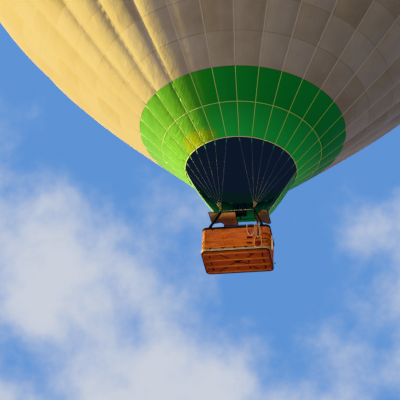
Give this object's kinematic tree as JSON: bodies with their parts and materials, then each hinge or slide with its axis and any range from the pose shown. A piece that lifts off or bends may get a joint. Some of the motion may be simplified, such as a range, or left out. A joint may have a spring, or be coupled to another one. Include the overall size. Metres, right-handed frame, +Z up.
{
  "type": "hot air balloon",
  "caption": "Hot air balloon in flight: gored envelope with scoop and parachute valve, gimballed double burner on a frame, and a wicker basket.",
  "frame": {"origin": "on the balloon axis inside the envelope, 19.5 m above the foot of the basket, where the air holds it up", "axes": "+Z up along the balloon axis, +X to the right along the long side of the basket, -Y towards the open front of the scoop"},
  "size_m": [26.5752, 26.5752, 31.3805],
  "materials": {
    "green_cloth": "coated nylon, green",
    "cream_cloth": "coated nylon, cream",
    "webbing": "pale woven webbing",
    "wire": "stranded stainless wire",
    "frame_steel": "welded stainless tube",
    "burner_can": "heat tinted stainless",
    "padding": "dark navy padded sleeve",
    "shield": "brown hide with dark binding",
    "wicker": "woven cane, varnished",
    "rim_leather": "dark padded hide",
    "rawhide": "pale rawhide",
    "floor_board": "red-brown stained board",
    "runner_wood": "varnished ash",
    "cylinder_metal": "aluminium in dark covers",
    "canvas": "cream canvas",
    "rope": "laid tan rope"
  },
  "bodies": {
    "balloon": {"envelope_green_base": "green_cloth", "scoop": "green_cloth", "envelope_cream_lower": "cream_cloth", "envelope_cream_middle": "cream_cloth", "envelope_cream_belt": "cream_cloth", "envelope_cream_shoulder": "cream_cloth", "envelope_cream_upper": "cream_cloth", "envelope_cream_crown": "cream_cloth", "crown_ring_and_tapes": "webbing", "mouth_hem_and_tabs": "webbing", "flying_wires_near_right": "wire", "flying_wires_far_right": "wire", "flying_wires_far_left": "wire", "flying_wires_near_left": "wire", "burner_frame": "frame_steel", "post_near_left": "padding", "post_near_right": "padding", "post_far_right": "padding", "post_far_left": "padding", "heat_shield_left": "shield", "heat_shield_right": "shield", "wall_near": "wicker", "wall_far": "wicker", "wall_left": "wicker", "wall_right": "wicker", "partition_across": "wicker", "partition_along": "wicker", "basket_rim": "rim_leather", "rawhide_band": "rawhide", "basket_floor": "floor_board", "runner_near": "runner_wood", "runner_near_middle": "runner_wood", "runner_far_middle": "runner_wood", "runner_far": "runner_wood", "gas_cylinder_near_left": "cylinder_metal", "gas_cylinder_far_left": "cylinder_metal", "gas_cylinder_near_right": "cylinder_metal", "gas_cylinder_far_right": "cylinder_metal", "rim_bag": "canvas", "rope_short_loop": "rope", "rope_middle_loop": "rope", "rope_long_loop": "rope"},
    "valve": {"parachute_valve": "cream_cloth"},
    "gimbal": {"gimbal_ring": "frame_steel"},
    "burner": {"burner_block": "frame_steel", "burner_can_left": "burner_can", "burner_can_right": "burner_can"}
  },
  "joints": [
    {"name": "valve_slide", "type": "slide", "parent": "balloon", "child": "valve", "axis": [0, 0, -1], "range_m": [0, 1.2]},
    {"name": "gimbal_tilt", "type": "hinge", "parent": "balloon", "child": "gimbal", "pos_m": [0, 0, -17.3], "axis": [1, 0, 0], "range_deg": [-15, 15]},
    {"name": "burner_tilt", "type": "hinge", "parent": "gimbal", "child": "burner", "pos_m": [0, 0, -17.3], "axis": [0, 1, 0], "range_deg": [-15, 15]}
  ]
}
